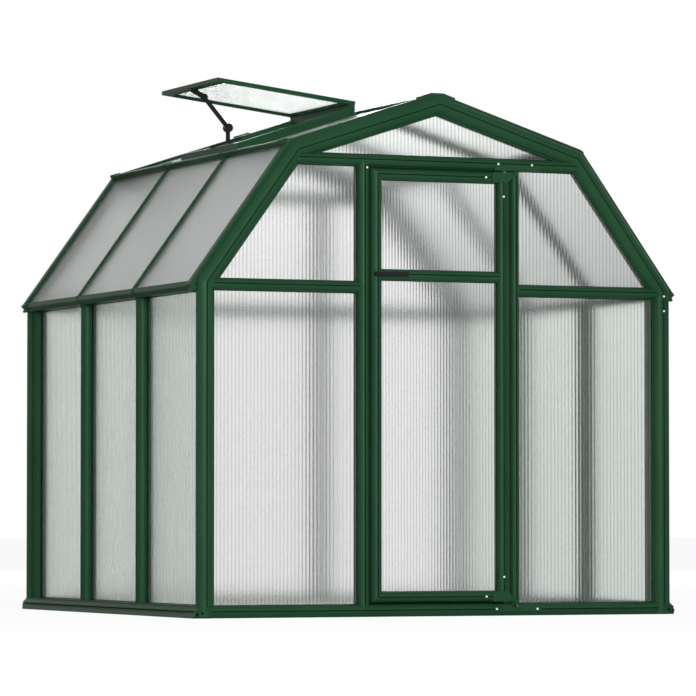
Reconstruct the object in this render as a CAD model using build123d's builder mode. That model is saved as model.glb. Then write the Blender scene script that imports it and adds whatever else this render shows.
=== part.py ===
"""Small glass-clad greenhouse with a two-slope roof, a hinged door and an open roof vent.

Millimetres, +Z up. The origin is on the ground at the centre of the base,
the front gable with the door looks along -Y, the side walls stand at -X and +X.
"""
import os
from math import atan2, cos, degrees, hypot, radians, sin, tan

from build123d import *

os.makedirs("parts", exist_ok=True)

# Overall size.
foot_x = 1000.0  # half width over the feet of the base
foot_y = 960.0  # half length over the feet of the base
base_height = 47.0
side_flare = 16.0  # the side sills stand out this far past the posts
fit_gap = 0.3  # all-round clearance of a seated piece
seam = 0.3  # joint line between two bars
far = 3000.0  # beyond the whole building, for cutting bodies

# Gable wall outline, all at the edge of the glazing.
opening_x = 913.0  # half width of the wall opening
eave_low = 1218.0
eave_high = 1263.0
eave_x = 892.0  # half width of the upper opening at the eave rail
steep_angle = 54.0
knee_low = 1698.0
knee_high = 1744.0
apex_z = 1902.0
shallow_angle = 18.0

# Gable bars: a flat rim that grips the panels, with a rounded nose in front of it.
gable_rim = 949.0
gable_back = 915.0
frame_rise = 27.0  # nose of posts and rafters, out from the rim
knee_rise = 26.0
upright_rise = 25.0
rail_rise = 24.0
frame_nose_half = 32.0
frame_nose_centre = 38.0  # from the opening edge to the crown of posts and rafters
upright_nose_half = 22.0
rail_nose_half = 20.0
shoulder_share = 0.3  # straight part of a nose's flank
crown_groove = 2.5
crown_groove_depth = 3.0
nose_foot = 30.0  # the uprights' noses end here, on the sill
frame_width = 58.0  # gable bar from the opening edge to the roof edge bar

# Panels.
panel_thickness = 4.0
panel_grip = 10.0  # how far a panel reaches into a bar
panel_lip = 5.0  # material in front of a panel
gable_panel_face = gable_rim - panel_lip
side_panel_face = 945.0
roof_panel_face = 72.0  # above the line of the gable opening

# Door.
jamb_left = -334.0
jamb_right = 339.0
jamb_left_inner = -288.0
jamb_right_inner = 303.0
jamb_right_crown = 319.0
jamb_right_half = 16.0
door_gap = 6.0
leaf_left = jamb_left_inner + door_gap
leaf_right = jamb_right_inner - door_gap
leaf_low = 53.0
leaf_high = 1692.0
leaf_rim = 953.0
leaf_depth = 25.0
leaf_rise = 24.0
leaf_mid_rise = 22.0
stile_left_edge = -237.5
stile_right_edge = 246.0
hinge_strip = 14.0  # flat strip along the hinge side of the leaf
leaf_bottom_edge = 94.0
leaf_mid_low = 1268.0
leaf_mid_high = 1310.0
leaf_top_edge = 1648.0

# Side walls and roof bays.
bay_line = 309.5
side_rim = 949.0
side_back = 918.0
side_post_nose = 981.0
side_post_half = 24.0
side_flange_half = 33.0
post_side_edge = 877.0

steep_sin = sin(radians(steep_angle))
steep_cos = cos(radians(steep_angle))
steep_tan = tan(radians(steep_angle))
shallow_cos = cos(radians(shallow_angle))
shallow_tan = tan(radians(shallow_angle))


def steep_x(rise, z):
    """X of the line that runs `rise` outside the steep opening edge."""
    return eave_x + rise / steep_sin - (z - eave_high) / steep_tan


def shallow_z(rise, x):
    """Z of the line that runs `rise` above the shallow opening edge."""
    return apex_z + rise / shallow_cos - x * shallow_tan


def knee(rise):
    """Corner where the steep and shallow lines at `rise` meet."""
    level = eave_high + steep_tan * (eave_x + rise / steep_sin)
    x = (level - apex_z - rise / shallow_cos) / (steep_tan - shallow_tan)
    return (x, shallow_z(rise, x))


def eave_corner(rise):
    """Corner where the upright line and the steep line at `rise` meet."""
    x = opening_x + rise
    return (x, eave_high + steep_tan * (eave_x + rise / steep_sin - x))


def mirrored(points):
    """The same outline on the other side of the middle plane."""
    return [(-x, z) for x, z in points]


def prism(outline, y_low, y_high):
    """Outline in the XZ plane, run from y_low to y_high."""
    with BuildPart() as bar:
        with BuildSketch(Plane.XZ.offset(-y_high)):
            with BuildLine():
                Polyline(*outline, close=True)
            make_face()
        extrude(amount=y_high - y_low)
    return bar.part


def outline_ring(openings, outer, face, back):
    """Block over each opening, widened by `outer`, from face to back."""
    with BuildPart() as ring:
        for opening in openings:
            with BuildSketch(Plane.XZ.offset(back)):
                with BuildLine():
                    Polyline(*opening, close=True)
                make_face()
                offset(amount=outer, kind=Kind.INTERSECTION)
            extrude(amount=face - back)
    return ring.part


def panel_slots(openings, panel_face):
    """Slots cut from the bars around the openings of one glazed wall."""
    return outline_ring(
        openings,
        panel_grip + 2.0,
        panel_face + fit_gap,
        panel_face - panel_thickness - fit_gap,
    )


def nose_bar(start, end, half_width, rim, rise):
    """Rounded nose that runs from start to end in front of the rim plane."""
    run_x = end[0] - start[0]
    run_z = end[1] - start[1]
    length = hypot(run_x, run_z)
    shoulder = shoulder_share * rise
    section_plane = Plane(
        origin=(start[0], -rim, start[1]),
        x_dir=(run_z / length, 0.0, -run_x / length),
        z_dir=(run_x / length, 0.0, run_z / length),
    )
    with BuildPart() as nose:
        with BuildSketch(section_plane):
            with BuildLine():
                Line((half_width, 0.0), (-half_width, 0.0))
                Line((-half_width, 0.0), (-half_width, -shoulder))
                ThreePointArc((-half_width, -shoulder), (0.0, -rise), (half_width, -shoulder))
                Line((half_width, -shoulder), (half_width, 0.0))
            make_face()
        extrude(amount=length)
    return nose.part


def crown_cut(start, end, rim, rise):
    """Thin groove along the crown of a nose."""
    run_x = end[0] - start[0]
    run_z = end[1] - start[1]
    length = hypot(run_x, run_z)
    side_x = run_z / length * crown_groove / 2
    side_z = -run_x / length * crown_groove / 2
    return prism(
        [
            (start[0] - side_x, start[1] - side_z),
            (start[0] + side_x, start[1] + side_z),
            (end[0] + side_x, end[1] + side_z),
            (end[0] - side_x, end[1] - side_z),
        ],
        -rim - rise - crown_groove_depth,
        -rim - rise + crown_groove_depth,
    )


def kept_inside(body, outline):
    """The part of a body that lies inside an outline of the XZ plane."""
    with BuildPart() as kept:
        add(body)
        add(prism(outline, -far, far), mode=Mode.INTERSECT)
    return kept.part


def less(body, *cutters):
    """A body with other bodies cut away."""
    with BuildPart() as rest:
        add(body)
        for cutter in cutters:
            add(cutter, mode=Mode.SUBTRACT)
    return rest.part


def flipped(body):
    """Mirror image on the other side of the building's middle plane."""
    return mirror(body, about=Plane.YZ)


def turned_back(body):
    """The same piece at the back gable."""
    return mirror(body, about=Plane.XZ)


def joined(*pieces):
    """Pieces gathered in one node."""
    with BuildPart() as group:
        for piece in pieces:
            add(piece)
    return group.part


def save(part, name):
    """Name the piece and write it."""
    part.label = name
    export_step(part, f"parts/{name}.step")


# Openings of the front gable, then of the back gable.
knee_x = steep_x(0.0, knee_low)
peak_x = (apex_z - knee_high) / shallow_tan
mullion_outer = 338.0
mullion_inner = 292.0


def upright_panes(x_low, x_high):
    """Wall opening below the eave rail."""
    return [(x_low, base_height), (x_high, base_height), (x_high, eave_low), (x_low, eave_low)]


def sloped_pane(x_edge):
    """Opening between an upright and the steep rafter, on the right."""
    return [(x_edge, eave_high), (eave_x, eave_high), (knee_x, knee_low), (x_edge, knee_low)]


peak_opening = [(-peak_x, knee_high), (peak_x, knee_high), (0.0, apex_z)]
front_openings = [
    upright_panes(-opening_x, jamb_left),
    upright_panes(jamb_right, opening_x),
    mirrored(sloped_pane(-jamb_left)),
    sloped_pane(jamb_right),
    peak_opening,
]
middle_pane = [
    (-mullion_inner, eave_high),
    (mullion_inner, eave_high),
    (mullion_inner, knee_low),
    (-mullion_inner, knee_low),
]
back_openings = [
    upright_panes(-opening_x, -mullion_outer),
    upright_panes(-mullion_inner, mullion_inner),
    upright_panes(mullion_outer, opening_x),
    mirrored(sloped_pane(mullion_outer)),
    middle_pane,
    sloped_pane(mullion_outer),
    peak_opening,
]
front_cut = panel_slots(front_openings, gable_panel_face)
back_cut = panel_slots(back_openings, gable_panel_face)

# Base: four sills, the gable ones with a full rounded face, the side ones flared.
sill_back = gable_rim - 58.0
sill_crown = 972.0
sill_groove = 4.5
gable_sill_face = [
    (sill_back, 0.0),
    (foot_y, 0.0),
    (foot_y + 1.5, 3.0),
    (foot_y + 6.0, 9.0),
    (sill_crown - 1.5, 17.0),
    (sill_crown, 23.0),
    (sill_crown - sill_groove, 23.0),
    (sill_crown - sill_groove, 26.5),
    (sill_crown, 26.5),
    (sill_crown - 1.5, 33.0),
    (foot_y + 5.0, 40.0),
    (foot_y - 3.0, 45.0),
    (gable_rim, base_height),
    (sill_back, base_height),
]
foot_rise = 16.0
shoulder_rise = 30.0
shoulder_top = 40.0
side_step = side_flare * 0.35
side_ledge = side_flare * 0.42
side_sill_depth = 62.0
side_sill_face = [
    (foot_x, 0.0),
    (foot_x - 1.0, 4.0),
    (foot_x - side_step, foot_rise),
    (foot_x - side_step, 22.0),
    (foot_x - side_step - 5.0, 22.0),
    (foot_x - side_step - 5.0, 27.0),
    (foot_x - side_step, 27.0),
    (foot_x - side_ledge, shoulder_rise),
    (foot_x - side_flare, shoulder_top),
    (foot_x - side_flare, base_height),
    (foot_x - side_flare - side_sill_depth, base_height),
    (foot_x - side_flare - side_sill_depth, 0.0),
]
sill_end = [
    (foot_x, 0.0),
    (foot_x - 1.0, 4.0),
    (foot_x - side_step, foot_rise),
    (foot_x - side_ledge, shoulder_rise),
    (foot_x - side_flare, shoulder_top),
    (foot_x - side_flare, base_height),
]


def gable_sill(cut):
    """Front sill, full width, its ends shaped like the flare of the side sills."""
    with BuildPart() as sill:
        with BuildSketch(Plane.YZ.offset(-foot_x)):
            with BuildLine():
                Polyline(*[(-y, z) for y, z in gable_sill_face], close=True)
            make_face()
        extrude(amount=2 * foot_x)
        add(prism(sill_end + mirrored(sill_end)[::-1], -far, far), mode=Mode.INTERSECT)
        add(cut, mode=Mode.SUBTRACT)
    return sill.part


base_front = gable_sill(front_cut)
save(base_front, "base_front")
back_sill = gable_sill(back_cut)
save(turned_back(back_sill), "base_back")

sill_run = sill_back - fit_gap


def side_sill():
    """Right-hand sill between the front and back sills."""
    with BuildPart() as sill:
        add(prism(side_sill_face, -sill_run, sill_run))
        with BuildSketch(Plane.XZ.offset(-sill_run)):
            with Locations((side_panel_face - panel_thickness / 2, base_height)):
                Rectangle(panel_thickness + 2 * fit_gap, 2 * panel_grip)
        extrude(amount=2 * sill_run, mode=Mode.SUBTRACT)
    return sill.part


base_right = side_sill()
save(base_right, "base_right")
save(flipped(base_right), "base_left")

# Noses of the gable frame, mitred where posts and rafters turn.
nose_reach = 2 * frame_nose_centre
post_x = opening_x + frame_nose_centre
eave_turn = eave_corner(frame_nose_centre)
knee_turn = knee(frame_nose_centre)
peak_turn = (0.0, shallow_z(frame_nose_centre, 0.0))


def beyond(start, end, extra):
    """A line made longer by `extra` at both ends."""
    length = hypot(end[0] - start[0], end[1] - start[1])
    step_x = (end[0] - start[0]) / length * extra
    step_z = (end[1] - start[1]) / length * extra
    return (start[0] - step_x, start[1] - step_z), (end[0] + step_x, end[1] + step_z)


def frame_nose(start, end, outline):
    """Nose of a post or rafter, cut to its mitres."""
    long_start, long_end = beyond(start, end, 2 * nose_reach)
    return kept_inside(nose_bar(long_start, long_end, frame_nose_half, gable_rim, frame_rise), outline)


post_nose = frame_nose(
    (post_x, nose_foot),
    eave_turn,
    [
        (opening_x, nose_foot),
        (opening_x + nose_reach, nose_foot),
        eave_corner(nose_reach),
        eave_corner(0.0),
    ],
)
steep_nose = frame_nose(
    eave_turn,
    knee_turn,
    [eave_corner(0.0), eave_corner(nose_reach), knee(nose_reach), knee(0.0)],
)
shallow_nose = frame_nose(
    knee_turn,
    peak_turn,
    [
        knee(0.0),
        knee(nose_reach),
        (seam / 2, shallow_z(nose_reach, 0.0)),
        (seam / 2, shallow_z(0.0, 0.0)),
    ],
)
frame_noses = [post_nose, steep_nose, shallow_nose]
frame_noses += [flipped(nose) for nose in frame_noses]

# Corner posts: the front nose, and a lower arch round the corner to the side wall.
post_outer = foot_x - side_flare - 1.0


def corner_post(cut):
    """Front right post, seen from above, from the sill to the eave purlin."""
    with BuildPart() as post:
        with BuildSketch(Plane.XY.offset(base_height)):
            with BuildLine():
                Polyline(
                    (opening_x, -gable_back),
                    (opening_x, -gable_rim),
                    (post_outer, -gable_rim),
                    (post_outer, -gable_rim + 8.0),
                    (post_outer - 13.0, -gable_rim + 16.0),
                    (post_outer - 15.0, -gable_back),
                    (post_outer - 21.0, -post_side_edge - 20.0),
                    (side_rim, -post_side_edge - 11.0),
                    (side_rim, -post_side_edge),
                    (side_back, -post_side_edge),
                    (side_back, -gable_back),
                    close=True,
                )
            make_face()
        extrude(amount=eave_low - base_height)
        with BuildSketch(Plane.XY.offset(base_height)):
            with Locations((side_panel_face - panel_thickness / 2, -post_side_edge)):
                Rectangle(panel_thickness + 2 * fit_gap, 2 * panel_grip + 4.0)
        extrude(amount=eave_low - base_height, mode=Mode.SUBTRACT)
        add(cut, mode=Mode.SUBTRACT)
    return post.part


def nosed_post(cut, sill):
    """Corner post with its nose fitted over the sill."""
    nose = less(post_nose, sill, crown_cut((post_x, 0.0), eave_turn, gable_rim, frame_rise))
    return joined(corner_post(cut), nose)


front_right_post = nosed_post(front_cut, base_front)
save(front_right_post, "front_right_post")
save(flipped(front_right_post), "front_left_post")
back_right_post = turned_back(nosed_post(back_cut, back_sill))
save(back_right_post, "back_right_post")
save(flipped(back_right_post), "back_left_post")

# Corner shoes over the base, in line with the posts.
shoe_half = frame_nose_half + 4.0
shoe_foot = 4.0
corner_shoe = less(
    nose_bar((post_x, shoe_foot), (post_x, nose_foot - seam), shoe_half, gable_rim, frame_rise + 2.0),
    base_front,
)
shoes = [corner_shoe, flipped(corner_shoe)]
shoes += [turned_back(shoe) for shoe in shoes]
save(joined(*shoes), "base_corner_brackets")

# Gable bars.
frame_knee = knee(frame_width)
rafter_foot_x = post_outer + 1.0
rafter_foot_z = eave_high - (rafter_foot_x - eave_x - frame_width / steep_sin) * steep_tan
knee_bar_z = (knee_low + knee_high) / 2
eave_bar_z = (eave_low + eave_high) / 2


def gable_set(cut, jambs, crowns, halves, sill, has_middle_rail):
    """Eave rails, knee beam, rafters and upright bars of one gable wall."""
    pieces = {}

    def bar(outline):
        """Flat part of a bar behind the rim."""
        return less(prism(outline, -gable_rim, -gable_back), cut)

    upright_noses = [
        nose_bar((crown, nose_foot), (crown, knee_bar_z), half, gable_rim, upright_rise)
        for crown, half in zip(crowns, halves)
    ]
    knee_end = steep_x(frame_nose_centre, knee_bar_z)
    knee_nose = less(
        nose_bar((-knee_end, knee_bar_z), (knee_end, knee_bar_z), rail_nose_half, gable_rim, knee_rise),
        *frame_noses,
    )
    spans = [(-opening_x, jambs[0][0], -post_x, crowns[0]), (jambs[1][1], opening_x, crowns[1], post_x)]
    if has_middle_rail:
        spans.append((jambs[0][1], jambs[1][0], crowns[0], crowns[1]))
    rails = []
    for low, high, nose_low, nose_high in spans:
        flat = bar([(low, eave_low), (high, eave_low), (high, eave_high), (low, eave_high)])
        nose = less(
            nose_bar((nose_low, eave_bar_z), (nose_high, eave_bar_z), rail_nose_half, gable_rim, rail_rise),
            *frame_noses,
            *upright_noses,
            crown_cut((nose_low, eave_bar_z + 3.0), (nose_high, eave_bar_z + 3.0), gable_rim, rail_rise),
        )
        rails.append(joined(flat, nose))
    pieces["eave_rails"] = rails
    knee_flat = bar([(-knee_x, knee_low), (knee_x, knee_low), (peak_x, knee_high), (-peak_x, knee_high)])
    knee_groove = crown_cut(
        (-knee_end, knee_bar_z + 3.0), (knee_end, knee_bar_z + 3.0), gable_rim, knee_rise
    )
    pieces["knee_beam"] = [joined(knee_flat, less(knee_nose, knee_groove))]
    steep_flat = bar(
        [
            (opening_x, eave_low + seam),
            (rafter_foot_x, eave_low + seam),
            (rafter_foot_x, rafter_foot_z),
            frame_knee,
            (peak_x, knee_high),
            (knee_x, knee_low),
            (eave_x, eave_high),
            (opening_x, eave_high),
        ]
    )
    shallow_flat = bar(
        [
            (seam / 2, apex_z),
            (seam / 2, shallow_z(frame_width, 0.0)),
            (frame_knee[0], frame_knee[1] + seam),
            (peak_x, knee_high + seam),
        ]
    )
    steep_bar = joined(steep_flat, less(steep_nose, crown_cut(eave_turn, knee_turn, gable_rim, frame_rise)))
    shallow_bar = joined(shallow_flat, less(shallow_nose, crown_cut(knee_turn, peak_turn, gable_rim, frame_rise)))
    pieces["lower_rafters"] = [steep_bar, flipped(steep_bar)]
    pieces["upper_rafters"] = [shallow_bar, flipped(shallow_bar)]
    pieces["uprights"] = []
    for (x_low, x_high), crown, nose in zip(jambs, crowns, upright_noses):
        flat = bar([(x_low, base_height), (x_high, base_height), (x_high, knee_low), (x_low, knee_low)])
        groove = crown_cut((crown, 0.0), (crown, knee_bar_z), gable_rim, upright_rise)
        pieces["uprights"].append(joined(flat, less(nose, sill, knee_nose, groove)))
    return pieces


front = gable_set(
    front_cut,
    [(jamb_left, jamb_left_inner), (jamb_right_inner, jamb_right)],
    [(jamb_left + jamb_left_inner) / 2, jamb_right_crown],
    [upright_nose_half, jamb_right_half],
    base_front,
    False,
)
save(joined(*front["eave_rails"]), "front_eave_rails")
front_knee_beam = joined(*front["knee_beam"])
save(front_knee_beam, "front_knee_beam")
save(joined(*front["lower_rafters"]), "front_lower_rafters")
save(joined(*front["upper_rafters"]), "front_upper_rafters")
doorway_posts = joined(*front["uprights"])
save(doorway_posts, "doorway_posts")

mullion_centre = (mullion_outer + mullion_inner) / 2
back = gable_set(
    back_cut,
    [(-mullion_outer, -mullion_inner), (mullion_inner, mullion_outer)],
    [-mullion_centre, mullion_centre],
    [upright_nose_half, upright_nose_half],
    back_sill,
    True,
)
for name, key in (
    ("back_eave_rails", "eave_rails"),
    ("back_knee_beam", "knee_beam"),
    ("back_lower_rafters", "lower_rafters"),
    ("back_upper_rafters", "upper_rafters"),
    ("back_mullions", "uprights"),
):
    save(turned_back(joined(*back[key])), name)


def gable_panels(openings, face):
    """Twin-wall panels, each gripped all round its opening."""
    return outline_ring(openings, panel_grip, face, face - panel_thickness)


save(gable_panels(front_openings, gable_panel_face), "front_panels")
save(turned_back(gable_panels(back_openings, gable_panel_face)), "back_panels")

# Side walls.
wall_panel_low = base_height - panel_grip
wall_panel_high = eave_low + panel_grip - 2.0


def side_posts():
    """Two upright posts of the right wall with rounded noses."""
    with BuildPart() as posts:
        for y in (-bay_line, bay_line):
            with BuildSketch(Plane.XY.offset(base_height)):
                with BuildLine():
                    Polyline(
                        (side_rim + 4.0, y - side_post_half),
                        (side_rim, y - side_flange_half),
                        (side_back, y - side_post_half),
                        (side_back, y + side_post_half),
                        (side_rim, y + side_flange_half),
                        (side_rim + 4.0, y + side_post_half),
                    )
                    ThreePointArc(
                        (side_rim + 4.0, y + side_post_half),
                        (side_post_nose, y),
                        (side_rim + 4.0, y - side_post_half),
                    )
                make_face()
                with Locations((side_post_nose, y)):
                    Rectangle(2 * crown_groove_depth, crown_groove, mode=Mode.SUBTRACT)
                for edge in (y - side_flange_half, y + side_flange_half):
                    with Locations((side_panel_face - panel_thickness / 2, edge)):
                        Rectangle(
                            panel_thickness + 2 * fit_gap,
                            2 * (panel_grip + 2.0),
                            mode=Mode.SUBTRACT,
                        )
            extrude(amount=eave_low - base_height)
    return posts.part


right_side_posts = side_posts()
save(right_side_posts, "right_side_posts")
save(flipped(right_side_posts), "left_side_posts")

wall_bays = (
    (-post_side_edge - panel_grip, -bay_line - side_flange_half + panel_grip),
    (-bay_line + side_flange_half - panel_grip, bay_line - side_flange_half + panel_grip),
    (bay_line + side_flange_half - panel_grip, post_side_edge + panel_grip),
)


def wall_panels():
    """Three panels of the right wall."""
    outline = [
        (side_panel_face - panel_thickness, wall_panel_low),
        (side_panel_face, wall_panel_low),
        (side_panel_face, wall_panel_high),
        (side_panel_face - panel_thickness, wall_panel_high),
    ]
    return joined(*[prism(outline, *bay) for bay in wall_bays])


right_wall_panels = wall_panels()
save(right_wall_panels, "right_wall_panels")
save(flipped(right_wall_panels), "left_wall_panels")

# Purlins between the gables, each with the slots of the panels that it holds.
purlin_end = gable_back - fit_gap
slot_low = roof_panel_face - panel_thickness - fit_gap
slot_high = roof_panel_face + fit_gap
purlin_inner = 50.0
purlin_lip = 82.0
eave_lip_z = 1252.0
eave_nose = (1003.0, 1234.0)
eave_underside_x = 985.0
eave_lip_x = 998.5
panel_foot = 1240.0
panel_top = 1777.0
eave_outline = [
    (side_back, eave_low),
    (eave_underside_x, eave_low),
    eave_nose,
    (eave_lip_x, eave_lip_z),
    (steep_x(purlin_inner, eave_lip_z), eave_lip_z),
    (side_back, eave_low + 22.0),
]
steep_slot = [
    (steep_x(slot_low, panel_foot), panel_foot),
    (steep_x(slot_high, panel_foot), panel_foot),
    (steep_x(slot_high, panel_top), panel_top),
    (steep_x(slot_low, panel_top), panel_top),
]
wall_slot = [
    (side_panel_face - panel_thickness - fit_gap, base_height),
    (side_panel_face + fit_gap, base_height),
    (side_panel_face + fit_gap, wall_panel_high + fit_gap),
    (side_panel_face - panel_thickness - fit_gap, wall_panel_high + fit_gap),
]


def purlin(outline, slots):
    """Right-hand purlin run from gable to gable."""
    return less(prism(outline, -purlin_end, purlin_end), *[prism(slot, -far, far) for slot in slots])


right_eave_purlin = purlin(eave_outline, [steep_slot, wall_slot])
save(right_eave_purlin, "right_eave_purlin")
save(flipped(right_eave_purlin), "left_eave_purlin")

knee_inner_x = 560.0
knee_lip_z = 1768.0
knee_lip_x = 624.0
knee_nose_x = 636.5
knee_nose_low = 1781.0
knee_nose_high = 1785.0
knee_crest = (632.0, 1787.5)
upper_panel_foot = 585.0
knee_outline = [
    (knee_inner_x, shallow_z(purlin_inner, knee_inner_x)),
    (knee_inner_x, shallow_z(purlin_lip, knee_inner_x)),
    knee_crest,
    (knee_nose_x, knee_nose_high),
    (knee_nose_x, knee_nose_low),
    (knee_lip_x, knee_lip_z),
    (steep_x(purlin_inner, knee_lip_z), knee_lip_z),
    knee(purlin_inner),
]
ridge_panel_x = 48.0
shallow_slot = [
    (ridge_panel_x, shallow_z(slot_low, ridge_panel_x)),
    (upper_panel_foot, shallow_z(slot_low, upper_panel_foot)),
    (upper_panel_foot, shallow_z(slot_high, upper_panel_foot)),
    (ridge_panel_x, shallow_z(slot_high, ridge_panel_x)),
]
right_knee_purlin = purlin(knee_outline, [shallow_slot, steep_slot])
save(right_knee_purlin, "right_knee_purlin")
save(flipped(right_knee_purlin), "left_knee_purlin")

ridge_half = 62.0
ridge_flat = 26.0
ridge_outline = [
    (-ridge_half, shallow_z(purlin_inner, ridge_half)),
    (-ridge_half, shallow_z(purlin_lip, ridge_half)),
    (-ridge_flat, shallow_z(purlin_lip, ridge_flat)),
    (ridge_flat, shallow_z(purlin_lip, ridge_flat)),
    (ridge_half, shallow_z(purlin_lip, ridge_half)),
    (ridge_half, shallow_z(purlin_inner, ridge_half)),
    (0.0, shallow_z(purlin_inner, 0.0)),
]
ridge_beam = less(
    prism(ridge_outline, -purlin_end, purlin_end),
    prism(shallow_slot, -far, far),
    prism(mirrored(shallow_slot), -far, far),
)
save(ridge_beam, "ridge_beam")

# Roof bars: H-shaped over the bays, boxed along the gables from eave to peak.
bar_half = 7.0
bar_web = 2.0
bar_cap = 79.0
bar_foot = 58.0
edge_low = frame_width + seam
edge_high = 83.0
edge_face = 945.0
peak_cap_half = 75.0
peak_cap_rise = 89.0


def slope_outline(low, high, upper):
    """Side outline of a roof bar between two rises on one slope."""
    if upper:
        x_in = ridge_half + fit_gap
        x_out = knee_inner_x - fit_gap
        return [
            (x_in, shallow_z(low, x_in)),
            (x_out, shallow_z(low, x_out)),
            (x_out, shallow_z(high, x_out)),
            (x_in, shallow_z(high, x_in)),
        ]
    z_low = eave_lip_z + fit_gap
    z_high = knee_lip_z - fit_gap
    return [
        (steep_x(low, z_low), z_low),
        (steep_x(high, z_low), z_low),
        (steep_x(high, z_high), z_high),
        (steep_x(low, z_high), z_high),
    ]


def roof_bar(y, upper):
    """H-shaped bar that holds the edges of two panels."""
    rest = prism(slope_outline(bar_foot, bar_cap, upper), y - bar_half, y + bar_half)
    slot = slope_outline(slot_low, slot_high, upper)
    return less(
        rest,
        prism(slot, y + bar_web, y + bar_half + 1.0),
        prism(slot, y - bar_half - 1.0, y - bar_web),
    )


eave_hook = [
    (rafter_foot_x + seam, eave_low + 1.0),
    (996.0, eave_low + 1.0),
    (997.0, 1213.5),
    (1005.0, 1213.5),
    (1006.0, eave_low + 1.0),
    (1002.5, 1227.0),
    (1015.0, 1238.0),
    (steep_x(edge_high, 1250.0), 1250.0),
]
lower_edge_outline = eave_hook + [
    knee(edge_high),
    knee(edge_low),
    (steep_x(edge_low, rafter_foot_z), rafter_foot_z),
]
upper_edge_outline = [
    knee(edge_low),
    knee(edge_high),
    (peak_cap_half + seam, shallow_z(edge_high, peak_cap_half + seam)),
    (peak_cap_half + seam, shallow_z(edge_low, peak_cap_half + seam)),
]
peak_cap_outline = [
    (0.0, shallow_z(edge_low, 0.0)),
    (peak_cap_half, shallow_z(edge_low, peak_cap_half)),
    (peak_cap_half, shallow_z(peak_cap_rise, peak_cap_half)),
    (ridge_flat, shallow_z(peak_cap_rise, ridge_flat)),
    (-ridge_flat, shallow_z(peak_cap_rise, ridge_flat)),
    (-peak_cap_half, shallow_z(peak_cap_rise, peak_cap_half)),
    (-peak_cap_half, shallow_z(edge_low, peak_cap_half)),
]
edge_slot_y = gable_back + panel_grip + 2.0


def front_edge_bar(outline, *slots):
    """Boxed bar over the front gable that holds the edge of a panel."""
    return less(
        prism(outline, -edge_face, -gable_back),
        *[prism(slot, -edge_slot_y, -gable_back + 5.0) for slot in slots],
    )


lower_edge = front_edge_bar(lower_edge_outline, steep_slot)
upper_edge = front_edge_bar(upper_edge_outline, shallow_slot)
lower_bars = [roof_bar(y, False) for y in (-bay_line, bay_line)]
upper_bars = [roof_bar(y, True) for y in (-bay_line, bay_line)]
right_lower_bars = joined(*lower_bars, lower_edge, turned_back(lower_edge))
right_upper_bars = joined(*upper_bars, upper_edge, turned_back(upper_edge))
save(right_lower_bars, "right_lower_roof_bars")
save(right_upper_bars, "right_upper_roof_bars")
save(flipped(right_lower_bars), "left_lower_roof_bars")
save(flipped(right_upper_bars), "left_upper_roof_bars")

peak_cap = front_edge_bar(peak_cap_outline, shallow_slot, mirrored(shallow_slot))
save(joined(peak_cap, turned_back(peak_cap)), "peak_caps")

# Roof panels.
panel_bays = (
    (-gable_back - panel_grip, -bay_line - bar_web - 1.0),
    (-bay_line + bar_web + 1.0, bay_line - bar_web - 1.0),
    (bay_line + bar_web + 1.0, gable_back + panel_grip),
)
panel_under = roof_panel_face - panel_thickness
lower_panel = [
    (steep_x(panel_under, panel_foot + fit_gap), panel_foot + fit_gap),
    (steep_x(roof_panel_face, panel_foot + fit_gap), panel_foot + fit_gap),
    (steep_x(roof_panel_face, panel_top - 1.0), panel_top - 1.0),
    (steep_x(panel_under, panel_top - 1.0), panel_top - 1.0),
]
panel_head_x = ridge_panel_x + 1.0
panel_foot_x = upper_panel_foot - fit_gap
upper_panel = [
    (panel_head_x, shallow_z(panel_under, panel_head_x)),
    (panel_foot_x, shallow_z(panel_under, panel_foot_x)),
    (panel_foot_x, shallow_z(roof_panel_face, panel_foot_x)),
    (panel_head_x, shallow_z(roof_panel_face, panel_head_x)),
]
outer_bays = (panel_bays[0], panel_bays[2])
save(joined(*[prism(lower_panel, *bay) for bay in panel_bays]), "right_lower_roof_panels")
save(joined(*[prism(upper_panel, *bay) for bay in panel_bays]), "right_upper_roof_panels")
save(joined(*[prism(mirrored(lower_panel), *bay) for bay in panel_bays]), "left_lower_roof_panels")
save(joined(*[prism(mirrored(upper_panel), *bay) for bay in outer_bays]), "left_upper_roof_panels")

# Clips on the purlins, over the bay lines and near the gables.
clip_half = 6.0
clip_rise = 3.0
clip_rows = (-purlin_end + 12.0, -bay_line, bay_line, purlin_end - 12.0)
eave_clip = [
    (eave_underside_x - 15.0, eave_low),
    (eave_underside_x - 15.0, eave_low - clip_rise),
    (eave_underside_x + 1.2, eave_low - clip_rise),
    (eave_nose[0] + 3.4, eave_nose[1] - 1.2),
    (eave_lip_x + 3.2, eave_lip_z),
    (eave_lip_x, eave_lip_z),
    eave_nose,
    (eave_underside_x, eave_low),
]
knee_clip = [
    (knee_lip_x, knee_lip_z),
    (knee_nose_x, knee_nose_low),
    (knee_nose_x, knee_nose_high),
    knee_crest,
    (knee_inner_x + 40.0, knee_crest[1] + (knee_crest[0] - knee_inner_x - 40.0) * 0.26),
    (knee_inner_x + 40.8, knee_crest[1] + (knee_crest[0] - knee_inner_x - 40.0) * 0.26 + clip_rise),
    (knee_crest[0] + 0.8, knee_crest[1] + clip_rise),
    (knee_nose_x + clip_rise, knee_nose_high + 1.7),
    (knee_nose_x + clip_rise, knee_nose_low - 1.4),
    (knee_lip_x + 1.9, knee_lip_z - 2.4),
]
clip_seats = [right_eave_purlin, right_knee_purlin, right_side_posts]
clips = []
for outline in (eave_clip, knee_clip):
    for row in clip_rows:
        clips.append(less(prism(outline, row - clip_half, row + clip_half), *clip_seats))
clips += [flipped(clip) for clip in clips]
save(joined(*clips), "purlin_clips")

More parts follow.
